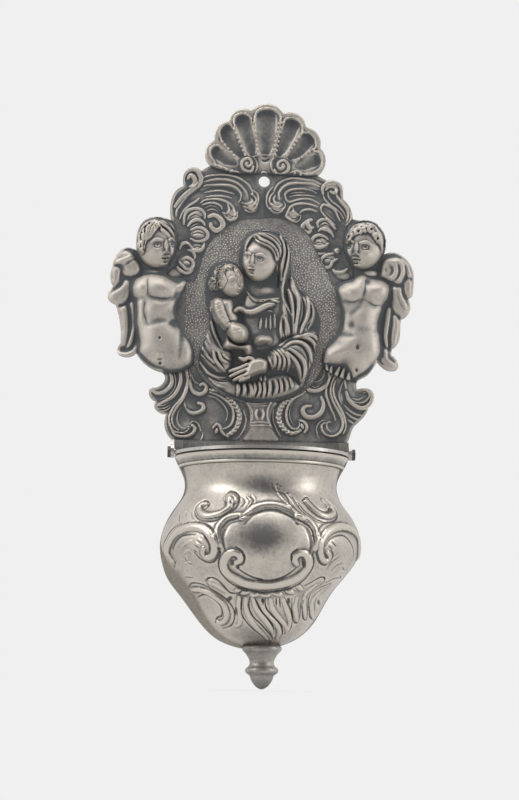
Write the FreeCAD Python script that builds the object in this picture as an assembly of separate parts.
import FreeCAD, Part
import math
import os

# Holy water stoup for a wall: an ornamental back plate on one nail, a water bowl with a hinged lid, a finial.
# Millimetres, +Z up, +X to the viewer's right. The wall is the plane Y = 0 and the front faces -Y.
# The origin is the centre of the nail hole on the back plate's back face.

vec = FreeCAD.Vector
UP = vec(0, 0, 1)
ACROSS = vec(1, 0, 0)

clear_of_all = 300.0          # reaches past every side of the stoup
touch = 0.01                  # two faces this near lie on each other

# Sheets
plate_t = 1.2                 # back plate
shell_t = 1.1                 # bowl halves
nail_hole_r = 2.5
nail_head_room = 0.8          # bare plate left round the hole
tongue_foot_z = -134.0        # the plate reaches down behind the bowl, where it is soldered on
tongue_half_width = 37.5
tongue_foot_half_width = 30.0

# Bowl: a half vase turned about an upright axis, with a shallow tray behind it
bowl_top_z = -125.3
tray_depth = 7.0
seam_y = -(plate_t + tray_depth)
bowl_axis_y = -4.2
tray_edge_round = 2.0
rim_r = 38.3                  # outside of the rim band, at its top
rim_foot_r = 35.9
rim_foot_z = -130.6
rim_step = 1.1                # how far the band stands out from the bowl

# outer radius of the half vase, downwards from the mouth
bowl_profile = [(rim_r - rim_step, bowl_top_z), (rim_foot_r - rim_step, rim_foot_z), (33.2, -136.6),
                (33.8, -142.3), (38.3, -149.5), (42.4, -156.6), (43.8, -164.5), (41.0, -172.0),
                (36.0, -178.5), (30.9, -185.0), (27.9, -190.0), (25.8, -194.0), (20.3, -201.3),
                (14.5, -205.5), (8.5, -207.8), (0.0, -208.8)]
# half widths of the tray: the right side follows the vase, the left side stands out from it low down
tray_right = [(rim_r, bowl_top_z), (rim_foot_r, rim_foot_z)] + bowl_profile[2:-1]
tray_left = [(rim_r, bowl_top_z), (rim_foot_r, rim_foot_z), (33.6, -136.6), (34.2, -142.3), (38.6, -149.5),
             (42.4, -156.8), (44.0, -164.8), (42.9, -172.4), (40.8, -178.3), (35.6, -185.5), (31.2, -191.2),
             (27.3, -196.4), (23.1, -201.3), (18.4, -205.1), (13.1, -207.5), (8.1, -208.8)]
bowl_foot_z = -209.2
mouth_lift = 3.0              # the hollow is cut this far past the mouth

# Chased work on the bowl's front: a smooth boss in a lobed frame, over and between scrolls. Boss and bands
# are given as the forms and scrolls of the reliefs are, with heights above the bowl's own surface.
bowl_step = 1.6               # spacing of the points that shape it
chased_foot_r = 2.5           # it is shaped down to this radius, which is already behind the seam
bowl_boss = (-0.5, -167.2, 20.0, 15.6, 0, 1.6)
bowl_bands = [
    ([(-20.3, -167.0), (-20.6, -161.0), (-17.8, -156.2), (-12.4, -153.8)], 1.6, 1.2),
    ([(-11.2, -152.4), (-5.2, -150.3), (2.1, -149.2), (9.2, -150.8), (12.0, -152.8)], 1.6, 1.2),
    ([(13.4, -154.2), (18.8, -157.0), (21.7, -162.6), (21.3, -168.5)], 1.6, 1.2),
    ([(-12.4, -172.6), (-14.8, -169.7), (-18.2, -171.6), (-18.3, -175.6), (-14.6, -179.6), (-8.2, -182.1),
      (0.4, -183.2), (8.2, -182.0), (14.8, -179.2), (18.9, -175.0), (18.4, -170.8), (14.9, -169.3),
      (12.8, -172.4)], 2.0, 1.4),
    ([(-14.7, -146.6), (-15.3, -150.0), (-18.6, -153.0), (-23.6, -153.8), (-27.3, -151.6), (-26.2, -148.6)],
     1.4, 1.2),
    ([(17.0, -146.6), (20.0, -150.3), (24.6, -153.0), (29.3, -151.9), (28.2, -148.6)], 1.4, 1.2),
    ([(-38.6, -171.6), (-40.4, -166.0), (-37.6, -160.6), (-32.0, -158.2), (-26.4, -158.9), (-22.9, -162.6),
      (-23.2, -167.6), (-26.0, -168.6)], 1.7, 1.3),
    ([(41.2, -170.4), (42.0, -164.4), (38.8, -158.6), (32.4, -157.2), (26.6, -160.0), (24.1, -164.6),
      (24.9, -169.4), (27.6, -169.6)], 1.7, 1.3),
    ([(-29.8, -184.2), (-23.6, -185.6), (-17.6, -189.4), (-15.2, -194.0), (-16.6, -198.0)], 1.5, 1.1),
    ([(27.2, -183.2), (22.6, -186.6), (21.2, -191.0), (21.6, -194.6)], 1.4, 1.0),
    ([(-9.8, -188.0), (-9.9, -192.6), (-9.7, -198.6)], 1.3, 1.0),
    ([(-4.2, -188.6), (-1.2, -194.2), (3.4, -199.6)], 1.3, 1.0),
    ([(2.8, -188.6), (5.8, -194.2), (9.8, -198.8)], 1.3, 1.0)]

# Lid and hinge
lid_t = 1.4
lid_r = 38.9                  # the lid overhangs the rim a little
lid_half_width = 38.2         # it is cut straight where it passes between the hinge ears
lid_gap = 0.4                 # lid's underside to rim
hinge_y = -5.2
barrel_r = 1.6
barrel_bore_r = 0.85
barrel_half_length = 38.0
pin_r = 0.8
pin_head_r = 2.45
pin_head_t = 1.4
pin_reach = 9.0               # how far the shank goes into the barrel
ear_inner_x = 38.5
ear_t = 1.5
ear_nose_r = 2.2
ear_nose_rise = 1.5           # the nose stays upright this far above the pin
ear_shoulder = 1.0            # width of the ear's top in front of the plate, behind the pin
ear_top_z = -117.6
foot_width = 4.0              # the ear's foot on the face of the plate
foot_t = 0.8
foot_z = -121.4

# Finial: radius and height of its turned profile, downwards; it hangs a little off the middle
finial_x = 1.0
finial_y = -9.5
finial_seat_z = -204.0
finial_profile = [(6.2, finial_seat_z), (6.2, -206.6), (7.2, -207.4), (8.5, -208.2), (8.6, -209.4),
                  (7.6, -210.6), (6.1, -212.6), (5.3, -214.8), (5.9, -216.6), (7.0, -217.6), (7.0, -219.2),
                  (5.3, -220.6), (4.9, -221.8), (4.1, -223.4), (2.4, -225.4), (0.0, -226.5)]

# Reliefs: heights are above the face of the plate
scroll_ground = 0.6
figure_ground = 0.8
scroll_foot_z = -117.4
relief_room = 25.0            # more than any relief stands out

# Outer edge of the plate and its reliefs, clockwise from the foot of the shell on the left.
# Each stretch is a smooth curve through (x, z) points, and the stretches meet in corners.
left_edge = [
    [(-24.5, 6.5), (-28.5, 4.0)],
    [(-28.5, 4.0), (-32.5, 5.5), (-35.5, 3.5), (-36.5, 0.5), (-36.0, -3.0)],
    [(-36.0, -3.0), (-40.0, -6.0), (-42.0, -12.5), (-41.5, -19.0)],
    [(-41.5, -19.0), (-48.5, -18.0), (-53.0, -19.5), (-56.0, -24.0), (-56.5, -33.5)],
    [(-56.5, -33.5), (-62.0, -32.0), (-65.0, -34.5), (-67.5, -41.0), (-68.0, -46.5), (-66.5, -49.5)],
    [(-66.5, -49.5), (-69.0, -54.5), (-65.5, -57.5)],
    [(-65.5, -57.5), (-63.5, -65.0), (-63.0, -75.0)],
    [(-63.0, -75.0), (-63.5, -80.0), (-60.0, -81.0), (-56.0, -79.0)],
    [(-56.0, -79.0), (-50.5, -85.0), (-44.5, -87.5)],
    [(-44.5, -87.5), (-43.0, -89.5), (-44.0, -92.5), (-48.5, -94.5)],
    [(-48.5, -94.5), (-50.0, -96.0), (-49.5, -98.5), (-47.0, -100.5)],
    [(-47.0, -100.5), (-47.5, -103.0), (-46.0, -105.0), (-42.0, -106.0)],
    [(-42.0, -106.0), (-43.0, -109.5), (-42.5, -113.0), (-40.0, -117.0), (-37.5, -118.5)],
]
right_edge = [
    [(37.5, -118.5), (39.5, -114.5), (40.5, -111.5), (44.5, -107.0), (47.5, -101.5)],
    [(47.5, -101.5), (50.0, -97.0), (49.0, -94.0), (46.5, -93.0), (42.5, -93.5)],
    [(42.5, -93.5), (43.0, -89.5), (46.5, -87.5), (49.5, -84.0), (51.5, -81.0)],
    [(51.5, -81.0), (54.5, -84.0), (58.0, -85.0), (60.5, -84.0), (60.5, -81.5), (57.5, -78.0)],
    [(57.5, -78.0), (58.0, -75.0)],
    [(58.0, -75.0), (60.0, -73.5), (61.5, -67.5), (62.0, -61.5)],
    [(62.0, -61.5), (65.0, -59.5), (66.0, -57.0), (65.0, -52.5)],
    [(65.0, -52.5), (67.0, -51.0)],
    [(67.0, -51.0), (67.5, -44.5), (66.5, -38.0), (64.0, -34.5), (61.0, -32.0), (54.0, -32.5)],
    [(54.0, -32.5), (54.0, -23.0), (51.0, -19.0), (47.0, -17.5), (40.0, -16.5)],
    [(40.0, -16.5), (38.5, -11.0), (35.5, -7.5)],
    [(35.5, -7.5), (35.5, -4.5), (34.5, -0.5), (31.5, 1.0), (28.0, 1.0)],
    [(28.0, 1.0), (24.0, 3.0)],
]
tab_behind_shell = [[(24.0, 3.0), (19.0, 13.0), (10.0, 20.0), (0.5, 22.0), (-9.5, 20.5), (-19.0, 14.5),
                     (-24.5, 6.5)]]

# Shell: valleys between its lobes and the lobes' crowns, from left to right
shell_centre = (0.5, -3.0)
shell_valleys = [(-24.5, 6.5), (-22.5, 18.0), (-16.0, 27.0), (-6.0, 32.0), (8.0, 31.0), (18.5, 25.0),
                 (25.0, 15.5), (24.0, 3.0)]
shell_crowns = [(-26.8, 12.5), (-21.3, 23.8), (-12.0, 32.3), (0.8, 35.4), (14.3, 31.0), (23.8, 21.8),
                (27.5, 9.5)]
shell_foot = [[(24.0, 3.0), (12.0, 2.8), (0.0, 3.3), (-12.0, 3.2), (-24.5, 6.5)]]
shell_rim_width = 2.0
shell_rim_height = 2.9
shell_flute_height = 1.5
shell_rib_height = 2.6
shell_volutes = [(-8.0, 7.4, 4.0, 4.0, 0, 3.4), (8.2, 6.6, 4.0, 4.0, 0, 3.4), (0.2, 6.8, 7.5, 3.2, 0, 2.8)]

# Edges of the reliefs that don't lie on the plate's edge
cherub_left_inner = [(-41.5, -19.0), (-39.0, -24.0), (-38.8, -31.0), (-41.0, -37.5), (-43.0, -43.5),
                     (-34.5, -46.2), (-35.6, -52.0), (-38.4, -59.5), (-37.0, -66.5), (-31.2, -75.5),
                     (-30.6, -83.0), (-35.0, -86.6), (-44.5, -87.5)]
cherub_right_inner = [(40.0, -16.5), (36.6, -23.0), (36.4, -31.0), (39.5, -37.5), (40.5, -43.5), (33.0, -46.2),
                      (33.0, -51.5), (35.0, -59.5), (33.5, -67.5), (27.2, -77.0), (27.0, -83.0), (32.0, -87.5),
                      (43.0, -90.5)]
ground_opening = [(0.5, -16.8), (11.0, -17.8), (19.5, -23.5), (24.0, -31.5), (29.0, -41.5), (32.2, -53.0),
                  (32.0, -70.0), (27.0, -84.0), (20.0, -94.0), (0.5, -100.8), (-19.5, -96.0), (-30.0, -84.0),
                  (-33.5, -70.0), (-32.0, -53.0), (-28.5, -40.0), (-24.5, -29.5), (-18.0, -22.5),
                  (-9.5, -17.8)]
group_edge = [
    [(-10.6, -39.5), (-10.2, -30.0), (-6.5, -24.0), (-1.0, -22.3), (5.5, -23.4), (10.0, -27.5),
     (12.2, -37.0), (13.6, -46.0), (21.0, -53.5), (25.5, -63.0), (23.5, -76.0), (20.5, -90.0),
     (10.5, -98.8)],
    [(10.5, -98.8), (-8.0, -99.4), (-19.5, -94.2), (-28.2, -82.5), (-26.0, -73.5), (-23.6, -66.0),
     (-25.0, -57.5), (-25.6, -46.5), (-22.0, -38.8), (-16.0, -37.0), (-10.6, -39.5)]]
cartouche_sides = [(-9.6, -98.5), (-4.6, -105.0), (-5.0, -111.5), (-8.8, scroll_foot_z)]
cartouche_flute = 0.35
cartouche_height = 1.7
cartouche_pitch = 3.1
cartouche_step = 0.6

# Rounded forms of the figures: (x, z, half width, half height, tilt in degrees, height)
cherub_left_forms = [
    (-48.0, -29.5, 9.0, 11.6, 0, 8.4), (-47.5, -42.0, 4.5, 6.0, 0, 4.6), (-47.0, -53.0, 12.5, 11.0, 0, 6.0),
    (-46.5, -67.0, 10.5, 13.0, 0, 6.2), (-41.0, -79.5, 13.0, 9.5, -25, 5.6), (-38.5, -49.0, 6.0, 4.2, 20, 4.4),
    (-56.0, -50.0, 4.5, 6.0, 0, 4.2), (-62.5, -41.0, 6.5, 9.5, 10, 3.7), (-64.5, -53.0, 5.0, 7.0, 0, 3.4),
    (-60.5, -68.0, 4.2, 14.0, 3, 3.0), (-60.0, -78.0, 4.2, 4.2, 0, 2.4)]
cherub_right_forms = [
    (45.0, -28.5, 9.6, 11.4, 0, 8.4), (44.0, -42.0, 4.5, 6.0, 0, 4.6), (45.0, -53.0, 12.0, 10.5, 0, 6.2),
    (43.5, -65.0, 10.0, 10.5, 0, 5.6), (40.5, -77.0, 13.5, 11.5, -20, 6.2), (44.0, -85.5, 6.0, 6.0, 30, 4.2),
    (61.0, -41.0, 7.0, 9.5, -10, 3.7), (62.5, -53.0, 5.2, 7.0, 0, 3.4), (59.5, -66.0, 4.0, 12.0, -3, 3.0),
    (58.0, -80.0, 3.8, 7.0, -20, 2.6)]
group_forms = [
    (-1.0, -33.5, 10.2, 12.4, 8, 8.8), (9.5, -38.0, 4.6, 14.0, 6, 5.2), (-1.0, -49.0, 8.5, 7.5, 0, 4.6),
    (3.0, -62.0, 12.5, 14.0, 0, 5.4), (18.5, -63.0, 7.5, 12.0, 10, 5.8), (13.5, -62.0, 4.6, 14.0, 8, 6.2),
    (16.5, -79.0, 9.5, 10.5, -15, 6.6), (6.5, -82.5, 9.0, 5.8, -15, 7.2), (-4.0, -84.5, 8.0, 5.2, -15, 7.6),
    (-13.0, -88.0, 6.0, 3.2, 20, 6.2), (-17.5, -45.5, 8.2, 8.8, 0, 8.2), (-17.5, -60.0, 7.4, 10.5, 15, 7.2),
    (-1.5, -58.5, 8.5, 3.0, 14, 6.8), (-11.5, -69.5, 6.8, 6.8, 0, 8.0), (-6.5, -77.0, 4.2, 6.0, 30, 6.8),
    (-0.5, -72.5, 5.4, 3.8, -25, 5.8), (-22.0, -80.0, 7.5, 9.0, 30, 4.8), (-16.5, -88.5, 9.0, 6.5, 25, 4.4),
    (1.0, -94.0, 15.0, 6.0, 0, 3.4)]
# main folds of veil, sleeve and cloth, as the bands of the scrolls below
group_folds = [
    ([(-7.0, -27.0), (-2.4, -24.6), (4.6, -24.8), (9.4, -28.8), (10.8, -36.6), (9.8, -44.6)], 1.5, 6.2),
    ([(9.8, -44.6), (9.2, -51.0), (10.4, -56.6), (13.4, -62.0), (13.8, -68.0)], 1.6, 6.4),
    ([(13.0, -47.0), (17.4, -53.0), (19.4, -60.0), (18.0, -68.6)], 1.5, 6.8),
    ([(9.7, -76.0), (13.4, -73.8), (17.8, -73.6), (21.0, -77.0)], 1.5, 7.2),
    ([(10.5, -78.5), (14.2, -82.8), (16.8, -89.0)], 1.6, 7.4),
    ([(-24.4, -66.0), (-27.0, -71.0), (-26.6, -77.6), (-22.0, -84.6)], 1.5, 4.6),
    ([(-21.4, -71.0), (-21.4, -79.0), (-17.6, -85.6)], 1.5, 5.6),
    ([(-8.4, -91.4), (-8.0, -97.2)], 1.4, 4.2),
    ([(-2.6, -91.4), (-2.4, -97.4)], 1.4, 4.4),
    ([(3.4, -90.8), (3.8, -97.0)], 1.4, 4.2),
    ([(9.2, -90.2), (9.6, -95.4)], 1.4, 4.0)]
cherub_crown_rise = 3.0       # the hair reaches this far above the inner edge's upper end
figure_step = 1.5             # spacing of the points that shape a cherub's surface
group_step = 1.8
scroll_step = 1.2

# Scrolls: bands along (x, z) points with (half width, height), and rounded leaves as the forms above
upper_left_bands = [
    ([(-29.5, -0.5), (-36.0, -4.5), (-40.0, -8.0), (-41.0, -12.0), (-40.0, -18.0)], 2.3, 2.8),
    ([(-28.0, 1.5), (-18.0, 2.3), (-9.0, -1.5), (-4.5, -7.5), (-6.0, -12.5)], 3.4, 3.0),
    ([(-31.0, -8.5), (-21.0, -8.5), (-14.0, -12.5), (-14.5, -17.0)], 3.2, 2.8)]
upper_left_leaves = [(-32.8, 1.5, 3.8, 3.8, 0, 3.2), (-20.5, -19.5, 3.8, 3.6, 0, 2.8),
                     (-31.0, -15.0, 5.4, 2.8, 0, 2.6), (-29.8, -20.5, 4.0, 2.4, 0, 2.4),
                     (-28.8, -25.0, 4.6, 3.4, 0, 2.8), (-30.0, -31.0, 4.0, 2.8, 0, 2.6),
                     (-33.5, -39.5, 5.2, 6.0, -10, 2.4)]
upper_right_bands = [
    ([(33.0, -5.5), (37.5, -12.0), (38.0, -18.0)], 2.3, 2.8),
    ([(25.0, -0.5), (16.0, 2.2), (7.5, 0.0), (3.8, -5.0), (4.0, -10.0), (7.0, -12.5)], 3.4, 3.0),
    ([(24.0, -11.0), (17.0, -9.5), (12.5, -12.0), (11.5, -16.0)], 3.0, 2.8)]
upper_right_leaves = [(30.2, -2.4, 4.2, 4.2, 0, 3.2), (19.5, -18.0, 3.4, 3.6, 0, 2.8),
                      (29.5, -13.0, 3.2, 5.8, 40, 2.8), (27.8, -19.5, 4.6, 2.4, 0, 2.4),
                      (26.8, -26.5, 4.4, 4.4, 0, 2.8), (30.0, -33.8, 4.6, 3.0, 0, 2.6),
                      (34.5, -41.5, 5.6, 3.8, 0, 2.4)]
lower_left_bands = [
    ([(-42.0, -87.5), (-40.5, -92.5), (-43.5, -96.5), (-48.0, -96.0)], 2.4, 2.8),
    ([(-37.5, -86.0), (-37.0, -94.0), (-41.5, -99.5), (-46.0, -103.0)], 2.2, 2.6),
    ([(-34.5, -85.0), (-33.5, -90.5), (-34.5, -98.0), (-38.0, -103.0), (-40.5, -107.5), (-39.5, -112.0),
      (-35.5, -113.5), (-32.0, -110.5)], 2.2, 2.9),
    ([(-31.5, -86.0), (-31.0, -92.5), (-28.5, -96.0), (-25.5, -95.0)], 2.0, 2.7),
    ([(-34.0, -101.0), (-32.0, -105.0), (-28.5, -105.5), (-25.5, -102.5)], 1.9, 2.5),
    ([(-23.5, -95.5), (-17.0, -97.0), (-12.0, -100.5), (-9.5, -105.0), (-10.5, -110.0), (-14.0, -114.0),
      (-19.0, -113.0), (-20.5, -110.5)], 2.5, 2.9)]
lower_right_bands = [
    ([(19.5, -95.5), (15.0, -97.0), (10.0, -100.0), (7.8, -104.5), (9.0, -110.5), (12.5, -113.8),
      (17.5, -113.0), (19.5, -110.0)], 2.5, 2.9),
    ([(27.0, -97.5), (26.5, -103.5), (22.5, -106.0), (19.5, -103.5)], 1.9, 2.5),
    ([(28.5, -85.5), (27.5, -90.5), (24.5, -94.5), (20.5, -93.5)], 2.0, 2.7),
    ([(35.5, -87.5), (31.0, -91.0), (31.5, -96.0), (35.0, -103.5), (36.0, -110.0), (33.0, -114.0),
      (28.5, -113.5), (28.0, -109.5)], 2.3, 2.9),
    ([(39.0, -91.5), (39.8, -97.5), (44.0, -99.5), (47.5, -97.5)], 2.6, 2.7)]

# what the scrollwork spans, above the opening's middle and below it
scroll_split_x = 0.3
upper_scroll_foot_z = -46.5
lower_scroll_head_z = -82.0


def curveThrough(points):
    """A smooth edge in the plane Y = 0 through (x, z) points, or a straight one through two."""
    places = [vec(x, 0, z) for x, z in points]
    if len(places) == 2:
        return Part.makeLine(*places)
    spline = Part.BSplineCurve()
    spline.interpolate(places)
    return spline.toShape()


def closedCurve(points):
    spline = Part.BSplineCurve()
    spline.interpolate([vec(x, 0, z) for x, z in points], PeriodicFlag=True)
    return Part.Face(Part.Wire(spline.toShape()))


def faceInside(stretches):
    return Part.Face(Part.Wire([curveThrough(points) for points in stretches]))


def panel(low_x, high_x, low_z, high_z):
    corners = [vec(low_x, 0, low_z), vec(high_x, 0, low_z), vec(high_x, 0, high_z), vec(low_x, 0, high_z)]
    return Part.Face(Part.makePolygon(corners + corners[:1]))


def largestFace(shape):
    return max(shape.Faces, key=lambda face: face.Area)


def slab(face, from_y, to_y):
    """The flat face, drawn at Y = 0, as a solid between two depths."""
    moved = face.translated(vec(0, from_y, 0))
    return moved.extrude(vec(0, to_y - from_y, 0))


def formHeight(form, x, z):
    """Height of one rounded form, half an ellipsoid that lies on the plate."""
    form_x, form_z, half_width, half_height, tilt, height = form
    turn = math.radians(tilt)
    across = (x - form_x) * math.cos(turn) + (z - form_z) * math.sin(turn)
    along = (z - form_z) * math.cos(turn) - (x - form_x) * math.sin(turn)
    reach = (across / half_width) ** 2 + (along / half_height) ** 2
    return height * math.sqrt(1 - reach) if reach < 1 else 0.0


def bandHeight(band, x, z):
    """Height of one round-backed band along its points."""
    points, half_width, height = band
    nearest = half_width
    for (ax, az), (bx, bz) in zip(points, points[1:]):
        length_sq = (bx - ax) ** 2 + (bz - az) ** 2
        share = ((x - ax) * (bx - ax) + (z - az) * (bz - az)) / length_sq
        share = min(1.0, max(0.0, share))
        nearest = min(nearest, math.hypot(x - ax - share * (bx - ax), z - az - share * (bz - az)))
    return height * math.sqrt(1 - (nearest / half_width) ** 2)


def reliefHeight(ground, forms=(), bands=()):
    def height(x, z):
        tops = [formHeight(form, x, z) for form in forms] + [bandHeight(band, x, z) for band in bands]
        return max([ground] + tops)
    return height


def smoothSurface(poles):
    """A smooth surface that follows a grid of poles and ends at its outer ones."""
    columns, rows = len(poles), len(poles[0])
    degree = 3
    surface = Part.BSplineSurface()
    surface.buildFromPolesMultsKnots(
        poles,
        [degree + 1] + [1] * (columns - degree - 1) + [degree + 1],
        [degree + 1] + [1] * (rows - degree - 1) + [degree + 1],
        list(range(columns - degree + 1)),
        list(range(rows - degree + 1)),
        False, False, degree, degree)
    return surface


def relief(face, height, step):
    """A closed solid on the plate, inside face, whose front follows height(x, z)."""
    box = face.BoundBox
    columns = int((box.XLength + 2 * step) / step) + 2
    rows = int((box.ZLength + 2 * step) / step) + 2
    xs = [box.XMin - step + i * (box.XLength + 2 * step) / (columns - 1) for i in range(columns)]
    zs = [box.ZMin - step + i * (box.ZLength + 2 * step) / (rows - 1) for i in range(rows)]
    surface = smoothSurface([[vec(x, -plate_t - height(x, z), z) for z in zs] for x in xs])
    under_surface = surface.toShape().extrude(vec(0, relief_room, 0))
    solid = slab(face, -plate_t, -plate_t - relief_room).common(under_surface)
    return max(solid.Solids, key=lambda piece: piece.Volume)


def nailHole(radius):
    return Part.makeCylinder(radius, 2 * relief_room, vec(0, relief_room, 0), vec(0, -1, 0))


# ---- flat outlines of the pieces on the plate

tongue = [[left_edge[-1][-1], (-tongue_half_width, bowl_top_z)],
          [(-tongue_half_width, bowl_top_z), (-tongue_foot_half_width, tongue_foot_z)],
          [(-tongue_foot_half_width, tongue_foot_z), (tongue_foot_half_width, tongue_foot_z)],
          [(tongue_foot_half_width, tongue_foot_z), (tongue_half_width, bowl_top_z)],
          [(tongue_half_width, bowl_top_z), right_edge[0][0]]]
plate_face = faceInside(left_edge + tongue + right_edge + tab_behind_shell)


def shellFace():
    lobes = []
    for start, crown, end in zip(shell_valleys, shell_crowns, shell_valleys[1:]):
        arc = Part.Arc(*[vec(x, 0, z) for x, z in (start, crown, end)])
        lobes.append(arc.toShape())
    return Part.Face(Part.Wire(lobes + [curveThrough(points) for points in shell_foot]))


def cherubFace(inner, side):
    """The part of the plate's outline outside the figure's inner edge. side is -1 left, +1 right."""
    (top_x, top_z), (foot_x, foot_z) = inner[0], inner[-1]
    far = clear_of_all * side
    frame = [[(foot_x, foot_z), (far, foot_z)], [(far, foot_z), (far, top_z)], [(far, top_z), (top_x, top_z)]]
    outside = faceInside([inner] + frame)
    crown_z = top_z + cherub_crown_rise
    crown_x = top_x + side * cherub_crown_rise
    crown = faceInside([[(top_x, top_z), (far, top_z)], [(far, top_z), (far, crown_z)],
                        [(far, crown_z), (crown_x, crown_z)], [(crown_x, crown_z), (top_x, top_z)]])
    return largestFace(plate_face.common(outside.fuse(crown)).removeSplitter())


shell_face = shellFace()
cherub_left_face = cherubFace(cherub_left_inner, -1)
cherub_right_face = cherubFace(cherub_right_inner, 1)
group_face = faceInside(group_edge)
cartouche_outline = faceInside([cartouche_sides,
                                [cartouche_sides[-1], (-cartouche_sides[-1][0], scroll_foot_z)],
                                [(-x, z) for x, z in reversed(cartouche_sides)],
                                [(-cartouche_sides[0][0], cartouche_sides[0][1]), cartouche_sides[0]]])
cartouche_face = largestFace(cartouche_outline.cut(group_face))
scrollwork = plate_face
for taken in (shell_face, cherub_left_face, cherub_right_face, closedCurve(ground_opening), group_face,
              cartouche_face):
    scrollwork = scrollwork.cut(taken)


def scrollFace(side, upper):
    """One quarter of the scrollwork."""
    low_x, high_x = (-clear_of_all, scroll_split_x) if side < 0 else (scroll_split_x, clear_of_all)
    low_z, high_z = (upper_scroll_foot_z, clear_of_all) if upper else (scroll_foot_z, lower_scroll_head_z)
    return largestFace(scrollwork.common(panel(low_x, high_x, low_z, high_z)))


# ---- the pieces on the plate

def backPlate():
    return slab(plate_face, 0, -plate_t).cut(nailHole(nail_hole_r))


def shellHeight(x, z):
    """Hollow flutes between ribs, inside a raised rim, with two volutes at the foot."""
    away_x, away_z = x - shell_centre[0], z - shell_centre[1]
    bearing = math.atan2(away_x, away_z)
    distance = math.hypot(away_x, away_z)
    ribs = [(math.atan2(px - shell_centre[0], pz - shell_centre[1]),
             math.hypot(px - shell_centre[0], pz - shell_centre[1])) for px, pz in shell_valleys]
    height = shell_rim_height
    for (low, low_reach), (high, high_reach) in zip(ribs, ribs[1:]):
        if low <= bearing < high:
            share = (bearing - low) / (high - low)
            hollow = math.sin(math.pi * share)
            edge = low_reach + share * (high_reach - low_reach) + shell_rim_width * hollow
            height = shell_rib_height + (shell_flute_height - shell_rib_height) * hollow
            if distance > edge - shell_rim_width:
                height = shell_rim_height
    return max([height] + [formHeight(form, x, z) for form in shell_volutes])


def cartoucheHeight(x, z):
    return cartouche_height + cartouche_flute * math.cos(2 * math.pi * x / cartouche_pitch)


def scroll(side, upper, bands, leaves=()):
    face = scrollFace(side, upper)
    if upper:
        face = largestFace(face.cut(nailHole(nail_hole_r + nail_head_room)))
    return relief(face, reliefHeight(scroll_ground, leaves, bands), scroll_step)


# ---- bowl

def vaseEdges(inset):
    """The half vase's profile, or its parallel at inset inside it, as one edge in the plane Y = 0."""
    spline = Part.BSplineCurve()
    spline.interpolate([vec(radius, 0, z) for radius, z in bowl_profile])
    if not inset:
        return spline.toShape(), vec(bowl_profile[0][0], 0, bowl_top_z), vec(0, 0, bowl_profile[-1][1])
    points = []
    for radius, z in bowl_profile[:-1]:
        along = spline.tangent(spline.parameter(vec(radius, 0, z)))[0]
        points.append(vec(radius, 0, z) + vec(along.z, 0, -along.x) * inset)
    points.append(vec(0, 0, bowl_profile[-1][1] + inset))
    inner = Part.BSplineCurve()
    inner.interpolate(points)
    return inner.toShape(), points[0], points[-1]


def vaseSolid(inset):
    """Everything inside the vase's outer or inner surface, with the mouth carried up past the rim."""
    edge, top, foot = vaseEdges(inset)
    lift = vec(0, 0, mouth_lift) if inset else vec(0, 0, 0)
    head = vec(0, 0, top.z) + lift
    edges = [edge, Part.makeLine(foot, head), Part.makeLine(head, top + lift)]
    if inset:
        edges.append(Part.makeLine(top + lift, top))
    solid = Part.Face(Part.Wire(Part.__sortEdges__(edges))).revolve(vec(0, 0, 0), UP, 360)
    return solid.translated(vec(0, bowl_axis_y, 0))


def inFrontOf(y):
    """Everything nearer than the depth y."""
    corner = vec(-clear_of_all, y - clear_of_all, -clear_of_all)
    return Part.makeBox(2 * clear_of_all, clear_of_all, 2 * clear_of_all, corner)


def chasedVase():
    """The front half of the vase as far back as its axis, solid, with its chased work."""
    edge = vaseEdges(0)[0]
    places = [place for place in edge.discretize(int(edge.Length / bowl_step)) if place.x > chased_foot_r]
    columns = int(math.pi * max(place.x for place in places) / bowl_step)
    height = reliefHeight(0, [bowl_boss], bowl_bands)
    poles = []
    for turn in [math.pi * (i / columns - 0.5) for i in range(columns + 1)]:
        poles.append([])
        for place in places:
            along = edge.tangentAt(edge.Curve.parameter(place))
            out = place + vec(-along.z, 0, along.x) * height(place.x * math.sin(turn), place.z)
            poles[-1].append(vec(out.x * math.sin(turn), bowl_axis_y - out.x * math.cos(turn), out.z))
    surface = smoothSurface(poles)
    first_u, last_u, first_v, last_v = surface.bounds()
    left, right = surface.uIso(first_u).toShape(), surface.uIso(last_u).toShape()
    mouth, foot = surface.vIso(first_v).toShape(), surface.vIso(last_v).toShape()
    mouth_line = Part.makeLine(poles[0][0], poles[-1][0])
    foot_line = Part.makeLine(poles[0][-1], poles[-1][-1])
    rings = [[mouth, mouth_line], [foot, foot_line], [left, mouth_line, right, foot_line]]
    flats = [Part.Face(Part.Wire(Part.__sortEdges__(ring))) for ring in rings]
    return Part.makeSolid(Part.makeShell([surface.toShape()] + flats))


chased_vase = chasedVase()


def bowlFront():
    return chased_vase.cut(vaseSolid(shell_t)).common(inFrontOf(seam_y))


def trayFace():
    right = [(half_width, z) for half_width, z in tray_right]
    left = [(-half_width, z) for half_width, z in tray_left]
    side = right + [(0.0, bowl_foot_z)] + left[::-1]
    return faceInside([side, [side[-1], side[0]]])


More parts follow.
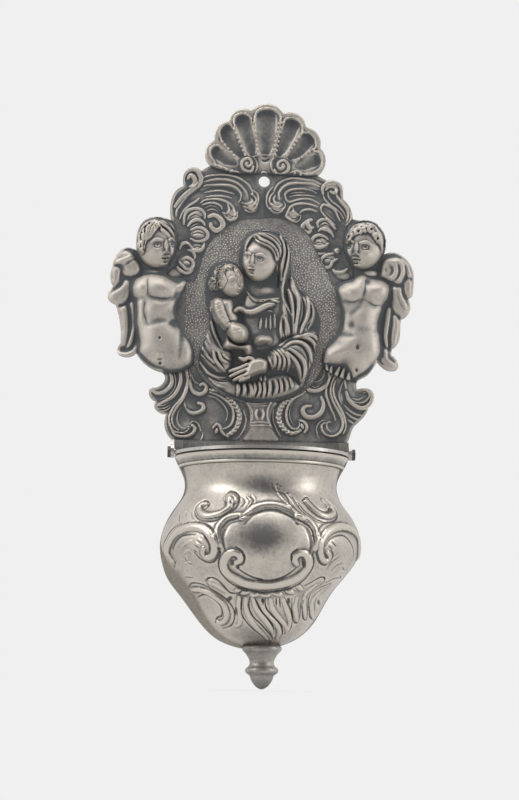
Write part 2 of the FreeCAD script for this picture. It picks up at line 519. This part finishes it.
def bowlBack():
    body = slab(trayFace(), -plate_t, seam_y)
    rear = []
    for edge in body.Edges:
        box = edge.BoundBox
        on_wall_side = box.YLength < touch and abs(box.YMin + plate_t) < touch
        if on_wall_side and box.ZLength > tray_edge_round:
            rear.append(edge)
    body = body.makeFillet(tray_edge_round, rear)
    hollow_sides = [(radius - shell_t, z) for radius, z in tray_right]
    hollow_foot = (0.0, bowl_profile[-1][1] + shell_t)
    top = bowl_top_z + mouth_lift
    hollow = faceInside([
        hollow_sides + [hollow_foot] + [(-radius, z) for radius, z in reversed(hollow_sides)],
        [(-hollow_sides[0][0], bowl_top_z), (-hollow_sides[0][0], top)],
        [(-hollow_sides[0][0], top), (hollow_sides[0][0], top)],
        [(hollow_sides[0][0], top), hollow_sides[0]]])
    return body.cut(slab(hollow, -plate_t - shell_t, seam_y - shell_t))


def rimBand():
    ring = Part.makePolygon([vec(rim_r - rim_step, 0, bowl_top_z), vec(rim_r, 0, bowl_top_z),
                             vec(rim_foot_r, 0, rim_foot_z), vec(rim_foot_r - rim_step, 0, rim_foot_z),
                             vec(rim_r - rim_step, 0, bowl_top_z)])
    band = Part.Face(ring).revolve(vec(0, 0, 0), UP, 360).translated(vec(0, bowl_axis_y, 0))
    return band.cut(chased_vase).common(inFrontOf(seam_y))


def finial():
    seat_r = finial_profile[0][0]
    turned_curve = Part.BSplineCurve()
    turned_curve.interpolate([vec(radius, 0, z) for radius, z in finial_profile[1:]])
    edges = [turned_curve.toShape(),
             Part.makeLine(vec(0, 0, finial_profile[-1][1]), vec(0, 0, finial_seat_z)),
             Part.makeLine(vec(0, 0, finial_seat_z), vec(seat_r, 0, finial_seat_z)),
             Part.makeLine(vec(seat_r, 0, finial_seat_z), vec(seat_r, 0, finial_profile[1][1]))]
    drop = Part.Face(Part.Wire(Part.__sortEdges__(edges))).revolve(vec(0, 0, 0), UP, 360)
    drop = drop.translated(vec(finial_x, finial_y, 0))
    seated = drop.cut(chased_vase.common(inFrontOf(seam_y))).cut(slab(trayFace(), 0, seam_y))
    return max(seated.Solids, key=lambda piece: piece.Volume)


# ---- lid and hinge

lid_under_z = bowl_top_z + lid_gap
hinge_z = lid_under_z + barrel_r


def acrossCylinder(radius, from_x, to_x):
    return Part.makeCylinder(radius, to_x - from_x, vec(from_x, hinge_y, hinge_z), ACROSS)


def lidPlate():
    disc = Part.makeCylinder(lid_r, lid_t, vec(0, bowl_axis_y, lid_under_z))
    corner = vec(-lid_half_width, hinge_y - clear_of_all, lid_under_z - lid_t / 2)
    strip = Part.makeBox(2 * lid_half_width, clear_of_all, 2 * lid_t, corner)
    return disc.common(strip).cut(acrossCylinder(barrel_r, -clear_of_all, clear_of_all))


def lidBarrel():
    tube = acrossCylinder(barrel_r, -barrel_half_length, barrel_half_length)
    return tube.cut(acrossCylinder(barrel_bore_r, -clear_of_all, clear_of_all))


def hingeBracket():
    """The right-hand ear: an upright plate beside the lid, with a small foot on the back plate."""
    nose_front = hinge_y - ear_nose_r
    nose_foot = hinge_z - ear_nose_r
    points = [(-plate_t, nose_foot), (-plate_t, ear_top_z), (hinge_y + ear_shoulder, ear_top_z),
              (nose_front, hinge_z + ear_nose_rise), (nose_front, hinge_z)]
    lines = [Part.makeLine(vec(0, *a), vec(0, *b)) for a, b in zip(points, points[1:])]
    corner = ear_nose_r * math.sqrt(0.5)
    nose = Part.Arc(vec(0, nose_front, hinge_z), vec(0, hinge_y - corner, hinge_z - corner),
                    vec(0, hinge_y, nose_foot)).toShape()
    floor = Part.makeLine(vec(0, hinge_y, nose_foot), vec(0, -plate_t, nose_foot))
    ear = Part.Face(Part.Wire(lines + [nose, floor])).extrude(vec(ear_t, 0, 0))
    ear = ear.translated(vec(ear_inner_x, 0, 0))
    foot_corner = vec(ear_inner_x - foot_width, -plate_t - foot_t, foot_z)
    foot = Part.makeBox(foot_width, foot_t, ear_top_z - foot_z, foot_corner)
    return ear.fuse(foot).removeSplitter().cut(acrossCylinder(pin_r, 0, clear_of_all))


def hingePin():
    """The right-hand pin: a head outside the ear, its shank through the ear and into the barrel."""
    outer_x = ear_inner_x + ear_t
    shank = acrossCylinder(pin_r, barrel_half_length - pin_reach, outer_x)
    head = acrossCylinder(pin_head_r, outer_x, outer_x + pin_head_t)
    return head.fuse(shank).removeSplitter()


def mirrored(shape):
    return shape.mirror(vec(0, 0, 0), ACROSS)


pieces = {
    "back_plate": backPlate(),
    "shell_crest": relief(shell_face, shellHeight, scroll_step),
    "mother_and_child": relief(group_face, reliefHeight(figure_ground, group_forms, group_folds), group_step),
    "cherub_left": relief(cherub_left_face, reliefHeight(figure_ground, cherub_left_forms), figure_step),
    "cherub_right": relief(cherub_right_face, reliefHeight(figure_ground, cherub_right_forms), figure_step),
    "upper_scrollwork_left": scroll(-1, True, upper_left_bands, upper_left_leaves),
    "upper_scrollwork_right": scroll(1, True, upper_right_bands, upper_right_leaves),
    "lower_scrollwork_left": scroll(-1, False, lower_left_bands),
    "lower_scrollwork_right": scroll(1, False, lower_right_bands),
    "centre_cartouche": relief(cartouche_face, cartoucheHeight, cartouche_step),
    "bowl_front": bowlFront(),
    "bowl_back": bowlBack(),
    "rim_band": rimBand(),
    "finial": finial(),
    "lid_plate": lidPlate(),
    "lid_barrel": lidBarrel(),
    "hinge_bracket_right": hingeBracket(),
    "hinge_bracket_left": mirrored(hingeBracket()),
    "hinge_pin_right": hingePin(),
    "hinge_pin_left": mirrored(hingePin()),
}

os.makedirs("parts", exist_ok=True)
for name, shape in pieces.items():
    shape.exportStep("parts/" + name + ".step")
    box = shape.BoundBox
    print(name, "solids", len(shape.Solids), "valid", shape.isValid(), "volume", round(shape.Volume),
          "x", round(box.XMin, 1), round(box.XMax, 1), "y", round(box.YMin, 1), round(box.YMax, 1),
          "z", round(box.ZMin, 1), round(box.ZMax, 1))
